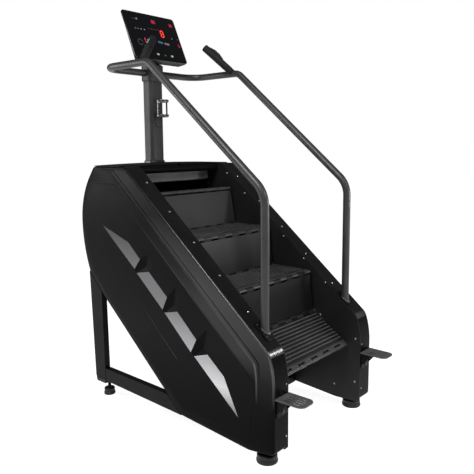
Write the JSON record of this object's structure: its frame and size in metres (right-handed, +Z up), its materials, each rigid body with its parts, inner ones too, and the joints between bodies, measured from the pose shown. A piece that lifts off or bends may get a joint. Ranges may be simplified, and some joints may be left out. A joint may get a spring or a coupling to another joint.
{
  "type": "stair climber",
  "caption": "Stair climber with an endless belt of hinged steps between two sloping side boxes, handrails, a column with a tilted console, entry pegs and levelling feet.",
  "frame": {"origin": "on the floor under the middle of the machine, centred across and along it", "axes": "+Z up, -Y towards the entry side where the user climbs on, X across the machine"},
  "size_m": [0.808, 1.392, 2.017],
  "materials": {
    "shell_black": "satin moulded plastic with a fine grain",
    "wall_black": "satin powder coat",
    "frame_black": "satin powder coat",
    "rail_grey": "satin powder coat",
    "tread_black": "ribbed moulded tread",
    "riser_grey": "satin moulded riser",
    "inlay_silver": "brushed, graded from dark to light",
    "steel": "machined",
    "screw_zinc": "zinc plated",
    "grip_rubber": "matte moulded rubber",
    "foot_rubber": "matte rubber",
    "console_plastic": "fine grained plastic",
    "screen_glass": "polished black panel",
    "button_silver": "satin silver",
    "peg_grey": "satin powder coat",
    "motor_grey": "enamel"
  },
  "bodies": {
    "root": {"side_shell_l": "shell_black", "side_shell_r": "shell_black", "side_inlays": "inlay_silver", "stringer_cap_l": "shell_black", "stringer_cap_r": "shell_black", "inner_wall_l": "wall_black", "inner_wall_r": "wall_black", "rear_legs": "frame_black", "base_rails": "frame_black", "cross_members": "frame_black", "top_cover": "shell_black", "valance": "rail_grey", "rear_cover": "shell_black", "column": "rail_grey", "column_boot": "shell_black", "head_collar": "rail_grey", "handrail_l": "rail_grey", "handrail_r": "rail_grey", "crossbar": "rail_grey", "grip_l": "grip_rubber", "grip_r": "grip_rubber", "console_bracket": "rail_grey", "console_back": "console_plastic", "console_screen": "screen_glass", "bottle_holder": "rail_grey", "foot_pegs": "peg_grey", "screws": "screw_zinc", "shaft_bearings": "motor_grey", "drive_belt": "foot_rubber", "gear_motor": "motor_grey", "control_box": "motor_grey", "power_inlet": "console_plastic"},
    "run_front": {"tread_1": "tread_black", "tread_2": "tread_black", "riser_0": "riser_grey", "riser_1": "riser_grey", "stair_chain_front": "steel"},
    "run_back": {"treads_back": "tread_black", "risers_back": "riser_grey", "stair_chain_back": "steel"},
    "top_turn": {"upper_shaft": "steel", "drive_wheel": "motor_grey", "stair_chain_top": "steel"},
    "low_turn": {"lower_shaft": "steel", "stair_chain_low": "steel"},
    "drive_pinion": {"drive_pulley": "steel"},
    "step_0": {"tread_0": "tread_black"},
    "step_3": {"tread_3": "tread_black"},
    "step_4": {"tread_4": "tread_black"},
    "step_7": {"tread_7": "tread_black"},
    "rise_2": {"riser_2": "riser_grey"},
    "rise_3": {"riser_3": "riser_grey"},
    "rise_6": {"riser_6": "riser_grey"},
    "rise_7": {"riser_7": "riser_grey"},
    "front_foot_l": {"front_foot_l": "foot_rubber"},
    "front_foot_r": {"front_foot_r": "foot_rubber"},
    "rear_foot_l": {"rear_foot_l": "foot_rubber"},
    "rear_foot_r": {"rear_foot_r": "foot_rubber"},
    "speed_button_l": {"speed_button_l": "button_silver"},
    "speed_button_r": {"speed_button_r": "button_silver"}
  },
  "joints": [
    {"name": "stair_travel", "type": "slide", "parent": "root", "child": "run_front", "axis": [0, -0.7859, -0.6184], "range_m": [-0.03, 0.03]},
    {"name": "back_travel", "type": "slide", "parent": "root", "child": "run_back", "axis": [0, 0.7859, 0.6184], "range_m": [-0.0306, 0.0306]},
    {"name": "top_turn", "type": "hinge", "parent": "root", "child": "top_turn", "pos_m": [0, 0.47146, 0.94346], "axis": [1, 0, 0], "range_deg": [-16.78, 16.78]},
    {"name": "low_turn", "type": "hinge", "parent": "root", "child": "low_turn", "pos_m": [0, -0.30254, 0.33446], "axis": [1, 0, 0], "range_deg": [-16.78, 16.78]},
    {"name": "drive_turn", "type": "hinge", "parent": "root", "child": "drive_pinion", "pos_m": [0, 0.08446, 0.63896], "axis": [1, 0, 0], "range_deg": [-66.23, 66.23]},
    {"name": "step_0_hinge", "type": "hinge", "parent": "run_front", "child": "step_0", "pos_m": [0, -0.298, 0.471], "axis": [1, 0, 0], "range_deg": [-10.36, 10.36]},
    {"name": "rise_7_hinge", "type": "hinge", "parent": "low_turn", "child": "rise_7", "pos_m": [0, -0.32078, 0.23157], "axis": [1, 0, 0], "range_deg": [-0.89, 0.89]},
    {"name": "step_3_hinge", "type": "hinge", "parent": "top_turn", "child": "step_3", "pos_m": [0, 0.4897, 1.04635], "axis": [1, 0, 0], "range_deg": [-11.27, 11.27]},
    {"name": "rise_2_hinge", "type": "hinge", "parent": "run_front", "child": "rise_2", "pos_m": [0, 0.218, 0.877], "axis": [1, 0, 0], "range_deg": [-2.53, 2.53]},
    {"name": "step_4_hinge", "type": "hinge", "parent": "run_back", "child": "step_4", "pos_m": [0, 0.46692, 0.80692], "axis": [1, 0, 0], "range_deg": [-10.36, 10.36]},
    {"name": "rise_3_hinge", "type": "hinge", "parent": "top_turn", "child": "rise_3", "pos_m": [0, 0.4897, 1.04635], "axis": [1, 0, 0], "range_deg": [-0.89, 0.89]},
    {"name": "step_7_hinge", "type": "hinge", "parent": "low_turn", "child": "step_7", "pos_m": [0, -0.32078, 0.23157], "axis": [1, 0, 0], "range_deg": [-11.27, 11.27]},
    {"name": "rise_6_hinge", "type": "hinge", "parent": "run_back", "child": "rise_6", "pos_m": [0, -0.04908, 0.40092], "axis": [1, 0, 0], "range_deg": [-2.53, 2.53]},
    {"name": "front_foot_l_turn", "type": "hinge", "parent": "root", "child": "front_foot_l", "pos_m": [-0.35, -0.491, 0], "axis": [0, 0, 1], "continuous": true},
    {"name": "rear_foot_l_turn", "type": "hinge", "parent": "root", "child": "rear_foot_l", "pos_m": [-0.357, 0.568, 0], "axis": [0, 0, 1], "continuous": true},
    {"name": "front_foot_r_turn", "type": "hinge", "parent": "root", "child": "front_foot_r", "pos_m": [0.35, -0.491, 0], "axis": [0, 0, 1], "continuous": true},
    {"name": "rear_foot_r_turn", "type": "hinge", "parent": "root", "child": "rear_foot_r", "pos_m": [0.357, 0.568, 0], "axis": [0, 0, 1], "continuous": true},
    {"name": "speed_button_l_press", "type": "slide", "parent": "root", "child": "speed_button_l", "axis": [0.5457, 0.3113, -0.778], "range_m": [0, 0.0015], "stiffness_N_per_m": 900, "springref_m": -0.001},
    {"name": "speed_button_r_press", "type": "slide", "parent": "root", "child": "speed_button_r", "axis": [-0.5457, 0.3113, -0.778], "range_m": [0, 0.0015], "stiffness_N_per_m": 900, "springref_m": -0.001}
  ],
  "couplings": [
    {"joint": "back_travel", "follows": "stair_travel", "ratio": 1},
    {"joint": "top_turn", "follows": "stair_travel", "rad_per_m": 9.5696},
    {"joint": "low_turn", "follows": "stair_travel", "rad_per_m": 9.5696},
    {"joint": "drive_turn", "follows": "stair_travel", "rad_per_m": 37.775},
    {"joint": "step_0_hinge", "follows": "stair_travel", "rad_per_m": 5.91},
    {"joint": "rise_7_hinge", "follows": "stair_travel", "rad_per_m": -0.505},
    {"joint": "step_3_hinge", "follows": "stair_travel", "rad_per_m": -6.428},
    {"joint": "rise_2_hinge", "follows": "stair_travel", "rad_per_m": 1.445},
    {"joint": "step_4_hinge", "follows": "stair_travel", "rad_per_m": 5.91},
    {"joint": "rise_3_hinge", "follows": "stair_travel", "rad_per_m": -0.505},
    {"joint": "step_7_hinge", "follows": "stair_travel", "rad_per_m": -6.428},
    {"joint": "rise_6_hinge", "follows": "stair_travel", "rad_per_m": 1.445}
  ]
}
